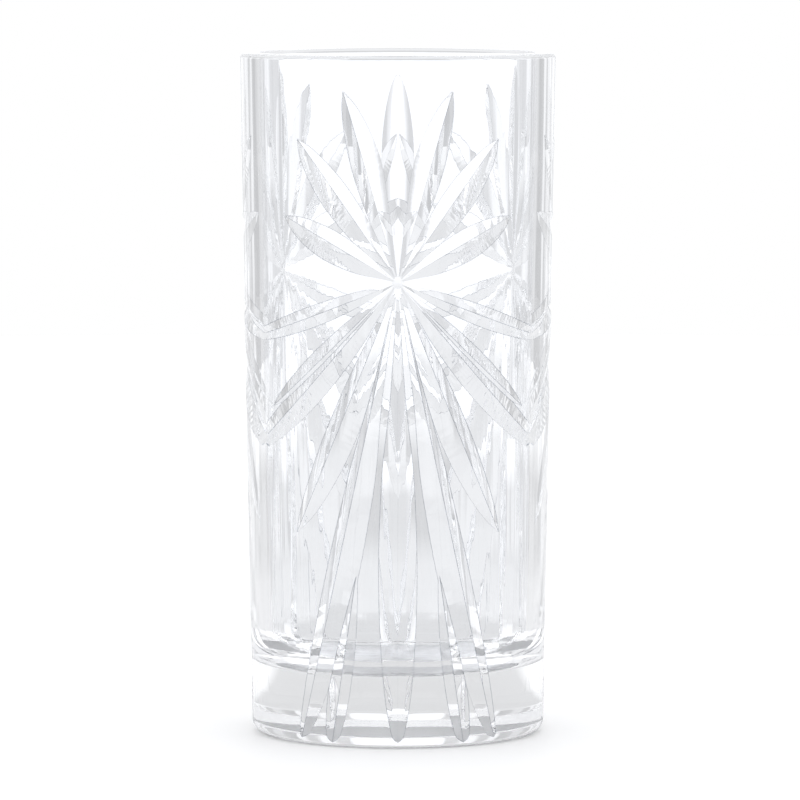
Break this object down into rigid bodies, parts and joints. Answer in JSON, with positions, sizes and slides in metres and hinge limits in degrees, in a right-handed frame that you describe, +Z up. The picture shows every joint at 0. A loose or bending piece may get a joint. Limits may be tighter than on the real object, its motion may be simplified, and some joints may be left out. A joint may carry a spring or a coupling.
{
  "type": "drinking glass",
  "caption": "Tall clear tumbler with a thick base, a gently flared plain lip and long V-cut star rays round its wall, for cold drinks",
  "frame": {"origin": "centre of the foot, on the plane the glass stands on", "axes": "+Z is up, along the axis of the glass; -Y is the front, where the first star faces the camera; +X is to its right"},
  "size_m": [0.0696, 0.0696, 0.15],
  "materials": {
    "clear_glass": "polished"
  },
  "bodies": {
    "root": {"rim": "clear_glass", "front_panel": "clear_glass", "right_panel": "clear_glass", "left_panel": "clear_glass", "base": "clear_glass"}
  },
  "joints": []
}
